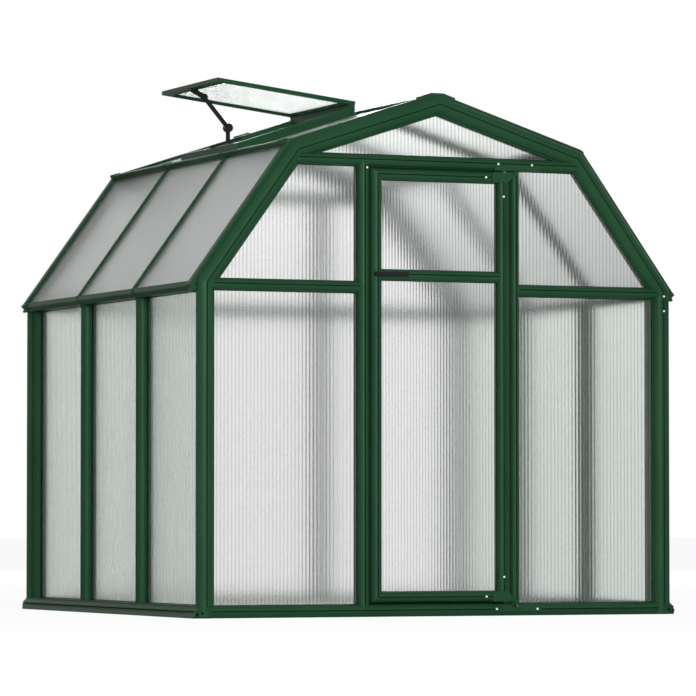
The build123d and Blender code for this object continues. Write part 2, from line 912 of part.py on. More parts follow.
# Vent kerb: an upstand around the open middle bay of the left upper slope.
kerb_top = 104.0
kerb_bar = 26.0
kerb_outer_low = knee_inner_x - fit_gap
kerb_outer_high = ridge_half + fit_gap
kerb_side = bay_line - bar_half - fit_gap


def kerb_rail(x_in, x_out, y_low, y_high):
    """One side of the kerb on the left upper slope."""
    outline = [
        (x_in, shallow_z(panel_under, x_in)),
        (x_out, shallow_z(panel_under, x_out)),
        (x_out, shallow_z(kerb_top, x_out)),
        (x_in, shallow_z(kerb_top, x_in)),
    ]
    return prism(mirrored(outline), y_low, y_high)


vent_kerb = joined(
    kerb_rail(kerb_outer_high, kerb_outer_low, kerb_side - kerb_bar, kerb_side),
    kerb_rail(kerb_outer_high, kerb_outer_low, -kerb_side, kerb_bar - kerb_side),
    kerb_rail(kerb_outer_high, kerb_outer_high + kerb_bar, kerb_bar - kerb_side, kerb_side - kerb_bar),
    kerb_rail(kerb_outer_low - kerb_bar, kerb_outer_low, kerb_bar - kerb_side, kerb_side - kerb_bar),
)
save(vent_kerb, "vent_kerb")

# Vent sash, held open on its stay.
sash_hinge = (-62.0, 1994.0)
sash_angle = 7.0
sash_length = 587.0
sash_half = 302.0
sash_thickness = 16.0
sash_side_bar = 18.0
sash_end_bar = 35.0
sash_pane_low = 9.0
sash_plane = Plane(
    origin=(sash_hinge[0], 0.0, sash_hinge[1]),
    x_dir=(-cos(radians(sash_angle)), 0.0, sin(radians(sash_angle))),
    z_dir=(sin(radians(sash_angle)), 0.0, cos(radians(sash_angle))),
)
sash_open_length = sash_length - 2 * sash_end_bar
sash_open_width = 2 * (sash_half - sash_side_bar)
with BuildPart() as sash_frame:
    with BuildSketch(sash_plane):
        with Locations((sash_length / 2, 0.0)):
            Rectangle(sash_length, 2 * sash_half)
            Rectangle(sash_open_length, sash_open_width, mode=Mode.SUBTRACT)
    extrude(amount=sash_thickness)
    with BuildSketch(sash_plane.offset(sash_pane_low - fit_gap)):
        with Locations((sash_length / 2, 0.0)):
            Rectangle(sash_open_length + 2 * panel_grip + 1.0, sash_open_width + 2 * panel_grip + 1.0)
    extrude(amount=panel_thickness + 2 * fit_gap, mode=Mode.SUBTRACT)
save(sash_frame.part, "vent_sash")
with BuildPart() as vent_pane:
    with BuildSketch(sash_plane.offset(sash_pane_low)):
        with Locations((sash_length / 2, 0.0)):
            Rectangle(sash_open_length + 2 * panel_grip, sash_open_width + 2 * panel_grip)
    extrude(amount=panel_thickness)
save(vent_pane.part, "vent_panel")


def sash_point(along, above):
    """Point of the sash, `along` from its hinge edge and `above` its underside."""
    return (
        sash_hinge[0] - along * cos(radians(sash_angle)) + above * sin(radians(sash_angle)),
        sash_hinge[1] + along * sin(radians(sash_angle)) + above * cos(radians(sash_angle)),
    )


hinge_rail_near = 2.0
hinge_rail_far = 24.0
hinge_rail_foot = []
for along in (hinge_rail_far, hinge_rail_near):
    rail_x = sash_point(along, 0.0)[0]
    hinge_rail_foot.append((rail_x, shallow_z(kerb_top, -rail_x)))
vent_hinge_rail = prism(
    [sash_point(hinge_rail_near, 0.0), sash_point(hinge_rail_far, 0.0), *hinge_rail_foot],
    -sash_half,
    sash_half,
)
save(vent_hinge_rail, "vent_hinge_rail")

# Vent stay: lever on the kerb, upright link, clamping knob and arm to the sash.
stay_thickness = 7.0
stay_width = 16.0
lever_height = 10.0
knob_at = (-479.0, 1915.0)
knob_radius = 17.0
knob_half = 13.0
arm_end = (-581.0, 2034.0)
arm_pivot_radius = 13.0
lever_out = -548.0
lever_in = -430.0
lever_rise = kerb_top + lever_height / 2
pad_thickness = 5.0


def flat_link(start, end, height, thickness):
    """Flat bar with round ends in the middle plane of the vent."""
    run_x = end[0] - start[0]
    run_z = end[1] - start[1]
    with BuildPart() as link:
        with BuildSketch(Plane.XZ.offset(-thickness / 2)):
            with Locations(((start[0] + end[0]) / 2, (start[1] + end[1]) / 2)):
                SlotCenterToCenter(hypot(run_x, run_z), height, rotation=degrees(atan2(run_z, run_x)))
        extrude(amount=thickness)
    return link.part


def round_boss(centre, radius, half):
    """Round boss across the middle plane of the vent."""
    with BuildPart() as boss:
        with BuildSketch(Plane.XZ.offset(-half)):
            with Locations(centre):
                Circle(radius)
        extrude(amount=2 * half)
    return boss.part


lever_start = (lever_out, shallow_z(lever_rise, -lever_out))
lever_end = (lever_in, shallow_z(lever_rise, -lever_in))
link_foot = (knob_at[0], shallow_z(lever_rise, -knob_at[0]))
pad_start = sash_length - sash_end_bar + 2.0
pad_end = sash_length - 3.0
sash_pad = prism(
    [
        sash_point(pad_start, -pad_thickness),
        sash_point(pad_end, -pad_thickness),
        sash_point(pad_end, 0.0),
        sash_point(pad_start, 0.0),
    ],
    -16.0,
    16.0,
)
vent_stay = joined(
    flat_link(lever_start, lever_end, lever_height, 24.0),
    flat_link(link_foot, knob_at, stay_width, stay_thickness),
    flat_link(knob_at, arm_end, stay_width, stay_thickness),
    flat_link(arm_end, sash_point(pad_start + 14.0, -pad_thickness), 18.0, 12.0),
    round_boss(knob_at, knob_radius, knob_half),
    round_boss(arm_end, arm_pivot_radius, 9.0),
    sash_pad,
)
vent_stay = less(vent_stay, vent_kerb, sash_frame.part)
save(vent_stay, "vent_stay")

# Door leaf: flat bars behind the rim, rounded noses mitred at the corners.
leaf_back = leaf_rim - leaf_depth
leaf_panel_face = leaf_rim - panel_lip
strip_edge = leaf_right - hinge_strip
leaf_openings = [
    [
        (stile_left_edge, leaf_bottom_edge),
        (stile_right_edge, leaf_bottom_edge),
        (stile_right_edge, leaf_mid_low),
        (stile_left_edge, leaf_mid_low),
    ],
    [
        (stile_left_edge, leaf_mid_high),
        (stile_right_edge, leaf_mid_high),
        (stile_right_edge, leaf_top_edge),
        (stile_left_edge, leaf_top_edge),
    ],
]
leaf_cut = panel_slots(leaf_openings, leaf_panel_face)
bottom_centre = (leaf_low + leaf_bottom_edge) / 2
mid_centre = (leaf_mid_low + leaf_mid_high) / 2
top_centre = (leaf_top_edge + leaf_high) / 2
left_centre = (leaf_left + stile_left_edge) / 2
right_centre = (stile_right_edge + strip_edge) / 2


def leaf_flat(x_low, x_high, z_low, z_high):
    """Flat part of one bar of the leaf."""
    outline = [(x_low, z_low), (x_high, z_low), (x_high, z_high), (x_low, z_high)]
    return less(prism(outline, -leaf_rim, -leaf_back), leaf_cut)


def leaf_nose(start, end, half, rise, outline):
    """Nose of one bar of the leaf, plain and with its crown groove, cut to its mitres."""
    nose = kept_inside(nose_bar(start, end, half, leaf_rim, rise), outline)
    return nose, less(nose, crown_cut(start, end, leaf_rim, rise))


left_plain, left_nose = leaf_nose(
    (left_centre, leaf_low),
    (left_centre, leaf_high),
    (stile_left_edge - leaf_left) / 2 - 1.0,
    leaf_rise,
    [
        (leaf_left, leaf_low),
        (stile_left_edge, leaf_bottom_edge),
        (stile_left_edge, leaf_top_edge),
        (leaf_left, leaf_high),
    ],
)
right_plain, right_nose = leaf_nose(
    (right_centre, leaf_low),
    (right_centre, leaf_high),
    (strip_edge - stile_right_edge) / 2 - 1.0,
    leaf_rise,
    [
        (stile_right_edge, leaf_bottom_edge),
        (strip_edge, leaf_low),
        (strip_edge, leaf_high),
        (stile_right_edge, leaf_top_edge),
    ],
)
_, bottom_nose = leaf_nose(
    (leaf_left, bottom_centre),
    (strip_edge, bottom_centre),
    (leaf_bottom_edge - leaf_low) / 2 - 1.0,
    leaf_rise,
    [
        (leaf_left, leaf_low),
        (strip_edge, leaf_low),
        (stile_right_edge, leaf_bottom_edge),
        (stile_left_edge, leaf_bottom_edge),
    ],
)
_, top_nose = leaf_nose(
    (leaf_left, top_centre),
    (strip_edge, top_centre),
    (leaf_high - leaf_top_edge) / 2 - 1.0,
    leaf_rise,
    [
        (stile_left_edge, leaf_top_edge),
        (stile_right_edge, leaf_top_edge),
        (strip_edge, leaf_high),
        (leaf_left, leaf_high),
    ],
)
mid_start = (left_centre, mid_centre)
mid_end = (right_centre, mid_centre)
mid_half = (leaf_mid_high - leaf_mid_low) / 2 - 1.0
mid_nose = less(
    nose_bar(mid_start, mid_end, mid_half, leaf_rim, leaf_mid_rise),
    left_plain,
    right_plain,
    crown_cut((left_centre, mid_centre + 3.0), (right_centre, mid_centre + 3.0), leaf_rim, leaf_mid_rise),
)
door_stiles = joined(
    joined(leaf_flat(leaf_left, stile_left_edge, leaf_low, leaf_high), left_nose),
    joined(leaf_flat(stile_right_edge, leaf_right, leaf_low, leaf_high), right_nose),
)
save(door_stiles, "door_stiles")
door_rails = joined(
    joined(leaf_flat(stile_left_edge, stile_right_edge, leaf_low, leaf_bottom_edge), bottom_nose),
    joined(leaf_flat(stile_left_edge, stile_right_edge, leaf_mid_low, leaf_mid_high), mid_nose),
    joined(leaf_flat(stile_left_edge, stile_right_edge, leaf_top_edge, leaf_high), top_nose),
)
save(door_rails, "door_rails")
save(gable_panels(leaf_openings, leaf_panel_face), "door_panels")

# Door hinge: plates on the leaf turn on pins held by brackets on the frame.
hinge_x = 312.0
hinge_y = -984.0
barrel_radius = 6.0
pin_radius = 2.7
pin_hole_radius = 3.1
tongue = 4.0
top_tongue_low = 1697.0
top_barrel_high = 1694.5
top_barrel_low = 1680.0
bottom_tongue_high = 41.0
bottom_barrel_low = 43.5
bottom_barrel_high = 58.0
plate_thickness = 3.0
plate_face = leaf_rim + leaf_rise + plate_thickness
plate_left = 217.0
plate_right = 313.0
plate_cut_x = 280.0
plate_depth = 14.0
bracket_left = 226.0
bracket_right = 422.0
bracket_height = 25.0
beam_bracket_face = gable_rim + knee_rise + plate_thickness
sill_bracket_face = sill_crown + plate_thickness


def turned_pin(z_low, z_high, radius):
    """Upright round piece on the door's turning axis."""
    with BuildPart() as pin:
        with BuildSketch(Plane.XY.offset(z_low)):
            with Locations((hinge_x, hinge_y)):
                Circle(radius)
        extrude(amount=z_high - z_low)
    return pin.part


def leaf_plate(outline, barrel_low, barrel_high, pin_low, pin_high):
    """Corner plate lying on the crowns of the leaf's noses, with its barrel and pin."""
    arm = prism(outline, -plate_face, -plate_face + plate_thickness)
    return joined(
        arm,
        turned_pin(barrel_low, barrel_high, barrel_radius),
        turned_pin(pin_low, pin_high, pin_radius),
    )


top_plate = leaf_plate(
    [
        (plate_left, leaf_top_edge + 2.0),
        (plate_cut_x, leaf_top_edge + 2.0),
        (plate_right, top_barrel_low + 2.0),
        (plate_right, leaf_high - 1.0),
        (plate_left, leaf_high - 1.0),
    ],
    top_barrel_low,
    top_barrel_high,
    top_barrel_high,
    top_tongue_low + tongue + 2.0,
)
bottom_plate = leaf_plate(
    [
        (plate_left, leaf_low + 1.0),
        (plate_right, leaf_low + 1.0),
        (plate_right, bottom_barrel_high + 2.0),
        (plate_cut_x, leaf_bottom_edge),
        (plate_left, leaf_bottom_edge),
    ],
    bottom_barrel_low,
    bottom_barrel_high,
    bottom_tongue_high - tongue - 2.0,
    bottom_barrel_low,
)
save(joined(top_plate, bottom_plate), "door_hinge_plates")


def bracket(face, depth, z_low, z_high, tongue_low, *seats):
    """Plate hugging the frame, with a tongue that holds the pin."""
    outline = [
        (bracket_left, z_low),
        (bracket_right, z_low),
        (bracket_right, z_high),
        (bracket_left, z_high),
    ]
    plate = prism(outline, -face, -face + depth)
    with BuildPart() as arm:
        with BuildSketch(Plane.XY.offset(tongue_low)):
            with BuildLine():
                Polyline(
                    (hinge_x - 12.0, -face + 2.0),
                    (hinge_x + 12.0, -face + 2.0),
                    (hinge_x + 9.0, hinge_y - 8.0),
                    (hinge_x - 9.0, hinge_y - 8.0),
                    close=True,
                )
            make_face()
        extrude(amount=tongue)
    hole = turned_pin(tongue_low - 1.0, tongue_low + tongue + 1.0, pin_hole_radius)
    return less(joined(plate, arm.part), hole, *seats)


save(
    joined(
        bracket(
            beam_bracket_face,
            12.0,
            top_tongue_low,
            top_tongue_low + bracket_height,
            top_tongue_low,
            front_knee_beam,
            doorway_posts,
        ),
        bracket(
            sill_bracket_face,
            8.0,
            bottom_tongue_high - bracket_height,
            bottom_tongue_high,
            bottom_tongue_high - tongue,
            base_front,
            doorway_posts,
        ),
    ),
    "door_hinge_brackets",
)

# Door handle: a low grip on two feet at the closing side of the middle rail.
grip_left = -279.0
grip_right = -142.0
grip_low = 1284.0
grip_high = 1299.0
grip_back = 989.0
grip_depth = 9.0
grip_foot = 12.0
with BuildPart() as grip:
    with BuildSketch(Plane.XZ.offset(grip_back)):
        with Locations(((grip_left + grip_right) / 2, (grip_low + grip_high) / 2)):
            Rectangle(grip_right - grip_left, grip_high - grip_low)
    extrude(amount=grip_depth)
    fillet(grip.edges().filter_by(Axis.X), radius=3.0)
    with BuildSketch(Plane.XZ.offset(leaf_rim + 6.0)):
        for x in (grip_left + grip_foot, grip_right - grip_foot / 2):
            with Locations((x, (grip_low + grip_high) / 2)):
                Rectangle(grip_foot, grip_high - grip_low - 4.0)
    extrude(amount=grip_back - leaf_rim - 5.0)
    add(door_stiles, mode=Mode.SUBTRACT)
    add(door_rails, mode=Mode.SUBTRACT)
save(grip.part, "door_handle")
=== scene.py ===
"""Dresses the greenhouse: resin frame, ribbed twin-wall sheets, black vent gear, screws, light and camera."""
import math

import bmesh
import bpy
from mathutils import Matrix, Vector


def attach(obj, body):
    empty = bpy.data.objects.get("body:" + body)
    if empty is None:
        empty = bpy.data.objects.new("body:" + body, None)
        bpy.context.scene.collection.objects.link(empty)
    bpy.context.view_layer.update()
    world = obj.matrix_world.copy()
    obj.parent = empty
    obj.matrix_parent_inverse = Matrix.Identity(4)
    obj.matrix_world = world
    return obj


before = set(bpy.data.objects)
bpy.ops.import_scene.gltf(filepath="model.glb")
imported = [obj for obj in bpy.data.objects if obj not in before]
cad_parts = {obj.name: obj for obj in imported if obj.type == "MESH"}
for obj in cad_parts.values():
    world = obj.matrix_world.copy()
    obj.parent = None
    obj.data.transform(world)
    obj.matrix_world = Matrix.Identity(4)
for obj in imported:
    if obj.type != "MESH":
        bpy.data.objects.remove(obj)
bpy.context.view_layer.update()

# Camera at the photograph's view angle, in metres and degrees.
CAMERA_PLACE = (-6.86612, -15.95520, 0.36862)
CAMERA_YAW = 23.4025
CAMERA_PITCH = 2.2482
CAMERA_LENS = 225.02
SENSOR_WIDTH = 36.0
VIEW_END = 200.0

# Slopes of the lower and the upper roof.
STEEP = math.radians(54.0)
SHALLOW = math.radians(18.0)

# Widths of the near-black strips of painted shade in the frame's grooves, the sills' grooves and along the panes'
# edges, the half width of the roof ribs and the pitches of the sheets' webs.
GROOVE = 0.0034
SILL_GROOVE = 0.0036
SIDE_SILL_GROOVE = 0.0044
EDGE = 0.003
RIB_HALF = 0.018
RIB_PITCH = 0.015
DOOR_RIB_PITCH = 0.0126

# Depths of the painted-shade strips from the middle of the building, nearer and farther, in the gables, the long
# walls and the leaf.
NOSE_DEPTHS, JAMB_DEPTHS = (0.9728, 0.9762), (0.9708, 0.9742)
RAIL_DEPTHS, BEAM_DEPTHS = (0.9698, 0.9732), (0.9718, 0.9752)
SILL_DEPTHS, PANE_DEPTHS, RAKE_DEPTHS = (0.9673, 0.9718), (0.9442, 0.9478), (0.9445, 0.9458)
SIDE_POST_DEPTHS, SIDE_SILL_DEPTHS, SIDE_PANE_DEPTHS = (0.9775, 0.9812), (0.989, 0.9942), (0.9452, 0.9484)
LEAF_DEPTHS, LEAF_MID_DEPTHS, LEAF_PANE_DEPTHS = (0.9738, 0.9772), (0.9718, 0.9752), (0.9482, 0.9522)

# Heights and widths of the panes' edges.
PANE_LOW, RAIL_LOW, RAIL_HIGH, KNEE_LOW = 0.047, 1.218, 1.263, 1.698
EAVE_X, KNEE_X = 0.892, 0.576
APEX_Z = 1.902
POST_ROWS = (-0.3095, 0.3095)
FLUSH_RISE, RIB_RISE = 0.0598, 0.0575

# Screw heads: radius, height and depth of the recess.
HEAD_RADIUS, HEAD_HEIGHT, RECESS = 0.0046, 0.0022, 0.0011

# Noise scales and grain depth of the resin; index of refraction and specular level of the sheets.
DRIFT_SCALE, GLOSS_SCALE, GRAIN_SCALE = 3.0, 40.0, 900.0
GRAIN_DEPTH = 0.0002
SHEET_IOR, SHEET_SPECULAR = 1.15, 0.35

# Light: the floor's tone, its glow and that glow's share, and the sky's level for rays that only light.
FLOOR_HALF = 60.0
FLOOR_TONE, FLOOR_GLOW, FLOOR_SHARE = 0.85, 1.08, 0.85
SKY_LEVEL = 0.2


def srgb(red, green, blue):
    """A linear colour from three 0 to 255 display values."""
    def linear(level):
        share = level / 255.0
        return share / 12.92 if share <= 0.04045 else ((share + 0.055) / 1.055) ** 2.4
    return (linear(red), linear(green), linear(blue), 1.0)


def new_material(name, roughness, metallic=0.0, specular=0.5):
    """A material with one Principled shader; returns it with its tree and shader."""
    material = bpy.data.materials.new(name)
    material.use_nodes = True
    tree = material.node_tree
    shader = tree.nodes["Principled BSDF"]
    shader.inputs["Roughness"].default_value = roughness
    shader.inputs["Metallic"].default_value = metallic
    shader.inputs["Specular IOR Level"].default_value = specular
    return material, tree, shader


def object_space(tree):
    """Object coordinates, in metres."""
    return tree.nodes.new("ShaderNodeTexCoord").outputs["Object"]


def noise(tree, scale, detail):
    """A noise texture's value on Object coordinates."""
    node = tree.nodes.new("ShaderNodeTexNoise")
    node.inputs["Scale"].default_value = scale
    node.inputs["Detail"].default_value = detail
    tree.links.new(object_space(tree), node.inputs["Vector"])
    return node.outputs["Fac"]


def ramp(tree, value, stops):
    """A colour ramp of (place, colour) stops on a value."""
    node = tree.nodes.new("ShaderNodeValToRGB")
    while len(node.color_ramp.elements) < len(stops):
        node.color_ramp.elements.new(0.5)
    for element, (place, colour) in zip(node.color_ramp.elements, stops):
        element.position = place
        element.color = colour
    tree.links.new(value, node.inputs["Fac"])
    return node.outputs["Color"]


def bump(tree, shader, height, strength, distance):
    """Adds a bump to the shader; an earlier bump goes under it."""
    node = tree.nodes.new("ShaderNodeBump")
    node.inputs["Strength"].default_value = strength
    node.inputs["Distance"].default_value = distance
    tree.links.new(height, node.inputs["Height"])
    earlier = shader.inputs["Normal"].links
    if earlier:
        tree.links.new(earlier[0].from_socket, node.inputs["Normal"])
    tree.links.new(node.outputs["Normal"], shader.inputs["Normal"])


def resin(name, deep, light, roughness, grain=0.25, specular=0.5, metallic=0.0):
    """Moulded resin: a slight drift of tone, an uneven gloss and a fine grain."""
    material, tree, shader = new_material(name, roughness, metallic, specular)
    drift = noise(tree, DRIFT_SCALE, 4.0)
    colour = ramp(tree, drift, [(0.3, deep), (0.7, light)])
    tree.links.new(colour, shader.inputs["Base Color"])
    fine = noise(tree, GRAIN_SCALE, 2.0)
    bump(tree, shader, fine, grain, GRAIN_DEPTH)
    gloss = noise(tree, GLOSS_SCALE, 3.0)
    spread = tree.nodes.new("ShaderNodeMapRange")
    spread.inputs["To Min"].default_value = roughness - 0.05
    spread.inputs["To Max"].default_value = roughness + 0.07
    tree.links.new(gloss, spread.inputs["Value"])
    tree.links.new(spread.outputs["Result"], shader.inputs["Roughness"])
    return material


def ribbed_sheet(name, along, pitch, tone, web_tone, through, roughness, depth):
    """Milky twin-wall sheet, see-through, with a web at every pitch along one axis."""
    material, tree, shader = new_material(name, roughness, specular=SHEET_SPECULAR)
    shader.inputs["Transmission Weight"].default_value = through
    shader.inputs["IOR"].default_value = SHEET_IOR
    parts = tree.nodes.new("ShaderNodeSeparateXYZ")
    tree.links.new(object_space(tree), parts.inputs["Vector"])
    count = tree.nodes.new("ShaderNodeMath")
    count.operation = "MULTIPLY"
    count.inputs[1].default_value = 2.0 * math.pi / pitch
    tree.links.new(parts.outputs[along], count.inputs[0])
    wave = tree.nodes.new("ShaderNodeMath")
    wave.operation = "COSINE"
    tree.links.new(count.outputs["Value"], wave.inputs[0])
    level = tree.nodes.new("ShaderNodeMapRange")
    level.inputs["From Min"].default_value = -1.0
    tree.links.new(wave.outputs["Value"], level.inputs["Value"])
    colour = ramp(tree, level.outputs["Result"], [(0.0, tone), (0.55, tone), (1.0, web_tone)])
    tree.links.new(colour, shader.inputs["Base Color"])
    bump(tree, shader, level.outputs["Result"], 1.0, depth)
    return material


GREEN = resin("frame_green", srgb(30, 65, 42), srgb(36, 72, 48), 0.36, specular=0.05)
BLACK = resin("black_fitting", srgb(8, 9, 9), srgb(13, 14, 14), 0.45, specular=0.2)
# Near-black tone: painted shade in the frame's grooves, along the panes' edges and in the base corner brackets'
# holes; it also colours the dark joint lines of the post's head sleeve.
SHADE_AND_JOINT_DARK = resin("painted_shade_and_joint_lines", srgb(5, 9, 6), srgb(8, 13, 9), 0.7, specular=0.05)
STEEL = resin("screw_steel", srgb(236, 238, 237), srgb(246, 247, 246), 0.35, grain=0.05, metallic=0.2)
SHEET_FRONT = ribbed_sheet(
    "sheet_ribs_across_x", "X", RIB_PITCH, srgb(246, 246, 246), srgb(217, 219, 218), 0.97, 0.25, 0.0008
)
SHEET_DOOR = ribbed_sheet(
    "door_sheet_ribs_across_x", "X", DOOR_RIB_PITCH, srgb(250, 250, 250), srgb(215, 217, 216), 0.97, 0.25, 0.00072
)
# Long walls' sheet: a darker, slightly greener copy of the front sheet; its darkness is painted shade for the
# long walls, which the key light strikes at a slant.
SHADED_SIDE_SHEET = ribbed_sheet(
    "sheet_ribs_across_y", "Y", RIB_PITCH, srgb(226, 233, 228), srgb(218, 225, 220), 0.96, 0.27, 0.0005
)
# Roof sheet: a darker grey copy of the front sheet; its darker grey is painted shade for roof slopes seen from
# below and turned from the key light.
SHADED_ROOF_SHEET = ribbed_sheet(
    "roof_sheet_ribs_across_y", "Y", RIB_PITCH, srgb(207, 210, 208), srgb(200, 203, 201), 0.9, 0.3, 0.0005
)
SHEET_VENT = ribbed_sheet(
    "vent_sheet_ribs_across_y", "Y", RIB_PITCH, srgb(232, 235, 233), srgb(224, 227, 225), 0.8, 0.25, 0.0003
)

SHEETS = {
    "front_panels": SHEET_FRONT, "back_panels": SHEET_FRONT, "door_panels": SHEET_DOOR,
    "left_wall_panels": SHADED_SIDE_SHEET, "right_wall_panels": SHADED_SIDE_SHEET,
    "left_lower_roof_panels": SHADED_ROOF_SHEET, "right_lower_roof_panels": SHADED_ROOF_SHEET,
    "left_upper_roof_panels": SHADED_ROOF_SHEET, "right_upper_roof_panels": SHADED_ROOF_SHEET,
    "vent_panel": SHEET_VENT,
}
BLACKS = ("vent_stay", "door_handle")


def dress(node, material):
    """Gives a CAD node one material."""
    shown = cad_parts[node]
    shown.data.materials.clear()
    shown.data.materials.append(material)


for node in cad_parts:
    if node in SHEETS:
        dress(node, SHEETS[node])
    elif node in BLACKS:
        dress(node, BLACK)
    else:
        dress(node, GREEN)


def finished(shape, name, material, body):
    """Puts a mesh in the scene as one piece that rides on a body."""
    bmesh.ops.recalc_face_normals(shape, faces=shape.faces)
    mesh = bpy.data.meshes.new(name)
    shape.to_mesh(mesh)
    shape.free()
    mesh.materials.append(material)
    piece = bpy.data.objects.new(name, mesh)
    bpy.context.scene.collection.objects.link(piece)
    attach(piece, body)


def block(shape, middle, size, turn=0.0):
    """A block of three sizes at a place, turned about the Y axis."""
    place = Matrix.Translation(middle) @ Matrix.Rotation(turn, 4, "Y") @ Matrix.Diagonal((*size, 1.0))
    bmesh.ops.create_cube(shape, size=1.0, matrix=place)


def on_side(side, depths):
    """Depths on the side of the middle that side names, -1 or 1."""
    return (side * depths[0], side * depths[1])


def shade_strip(shape, start, end, depths, width):
    """A strip of painted shade in a wall that faces Y, from one (x, z) point to another, between two depths."""
    (x_start, z_start), (x_end, z_end) = start, end
    near, far = depths
    length = math.hypot(x_end - x_start, z_end - z_start)
    middle = ((x_start + x_end) / 2, (near + far) / 2, (z_start + z_end) / 2)
    block(shape, middle, (length, abs(far - near), width), math.atan2(z_start - z_end, x_end - x_start))


def side_shade_strip(shape, start, end, depths, width):
    """A strip of painted shade in a wall that faces X, from one (y, z) point to another, upright or level."""
    (y_start, z_start), (y_end, z_end) = start, end
    near, far = depths
    middle = ((near + far) / 2, (y_start + y_end) / 2, (z_start + z_end) / 2)
    size = (abs(far - near), abs(y_end - y_start) + width, abs(z_end - z_start) + width)
    block(shape, middle, size)


def steep(rise, z):
    """Point of the lower roof slope at a height, a rise out from the gable openings' edge."""
    return (EAVE_X + rise / math.sin(STEEP) - (z - RAIL_HIGH) / math.tan(STEEP), z)


def shallow(rise, x):
    """Point of the upper roof slope at a distance from the middle."""
    return (x, APEX_Z + rise / math.cos(SHALLOW) - x * math.tan(SHALLOW))


def mirrored(point, mirror):
    """The (x, z) point, or with -1 its twin on the other side of the middle."""
    return (point[0] * mirror, point[1])


# Turns of the crown grooves as (x, z) points, heights of level grooves, and the bays between the bars.
EAVE_TURN, KNEE_TURN, PEAK_TURN = (0.951, 1.2464), (0.5834, 1.7524), (0.0, 1.942)
RAIL_GROOVE, BEAM_GROOVE, MID_GROOVE = 1.2435, 1.724, 1.292
BAYS_LOW = ((-0.913, -0.334), (0.339, 0.913))
BACK_BAYS_LOW = ((-0.913, -0.338), (-0.292, 0.292), (0.338, 0.913))
PEAK_PANE = [(-0.4863, 1.744), (0.4863, 1.744), (0.0, APEX_Z)]


def box_loop(x_low, x_high, z_low, z_high):
    """Corners of an upright pane."""
    return [(x_low, z_low), (x_high, z_low), (x_high, z_high), (x_low, z_high)]


def shade_strips_round_pane(shape, corners, depths, width):
    """Strips of painted shade along the edges of a pane."""
    for start, end in zip(corners, corners[1:] + corners[:1]):
        shade_strip(shape, start, end, depths, width)


def upper_pane(x_low, x_high):
    """Corners of a gable pane over the rail: upright in the middle, cut by the slope at a side."""
    if x_low < 0.0 < x_high:
        return box_loop(x_low, x_high, RAIL_HIGH, KNEE_LOW)
    if x_high > 0.0:
        return [(x_low, RAIL_HIGH), (EAVE_X, RAIL_HIGH), (KNEE_X, KNEE_LOW), (x_low, KNEE_LOW)]
    return [(-EAVE_X, RAIL_HIGH), (x_high, RAIL_HIGH), (x_high, KNEE_LOW), (-KNEE_X, KNEE_LOW)]


def gable_lines(side, jamb_lines, bays, middle_rail):
    """Near-black strips of painted shade in the grooves of one gable wall and along the edges of its panes; side
    is -1 in front and 1 behind.
    """
    grooves = bmesh.new()
    for mirror in (1, -1):
        crown = [mirrored(point, mirror) for point in ((0.951, 0.045), EAVE_TURN, KNEE_TURN, PEAK_TURN)]
        for start, end in zip(crown, crown[1:]):
            shade_strip(grooves, start, end, on_side(side, NOSE_DEPTHS), GROOVE)
    for x in jamb_lines:
        shade_strip(grooves, (x, 0.045), (x, 1.702), on_side(side, JAMB_DEPTHS), GROOVE)
    left, right = jamb_lines
    runs = [(-0.921, left - 0.021), (right + 0.017, 0.921)]
    if middle_rail:
        runs.append((left + 0.022, right - 0.022))
    for start, end in runs:
        shade_strip(grooves, (start, RAIL_GROOVE), (end, RAIL_GROOVE), on_side(side, RAIL_DEPTHS), GROOVE)
    shade_strip(grooves, (-0.578, BEAM_GROOVE), (0.578, BEAM_GROOVE), on_side(side, BEAM_DEPTHS), GROOVE)
    shade_strip(grooves, (-0.96, 0.0247), (0.96, 0.0247), on_side(side, SILL_DEPTHS), SILL_GROOVE)
    finished(grooves, "front_groove_shade" if side < 0 else "back_groove_shade", SHADE_AND_JOINT_DARK, "building")
    edge_shade_strips = bmesh.new()
    depths = on_side(side, PANE_DEPTHS)
    for x_low, x_high in bays:
        shade_strips_round_pane(edge_shade_strips, box_loop(x_low, x_high, PANE_LOW, RAIL_LOW), depths, EDGE)
        shade_strips_round_pane(edge_shade_strips, upper_pane(x_low, x_high), depths, EDGE)
    shade_strips_round_pane(edge_shade_strips, PEAK_PANE, depths, EDGE)
    for mirror in (1, -1):
        for start, end in (
            (steep(FLUSH_RISE, 1.235), steep(FLUSH_RISE, 1.7725)),
            (shallow(FLUSH_RISE, 0.594), shallow(FLUSH_RISE, 0.076)),
        ):
            shade_strip(edge_shade_strips, mirrored(start, mirror), mirrored(end, mirror), on_side(side, RAKE_DEPTHS), EDGE)
    finished(edge_shade_strips, "front_pane_edge_shade" if side < 0 else "back_pane_edge_shade", SHADE_AND_JOINT_DARK, "building")


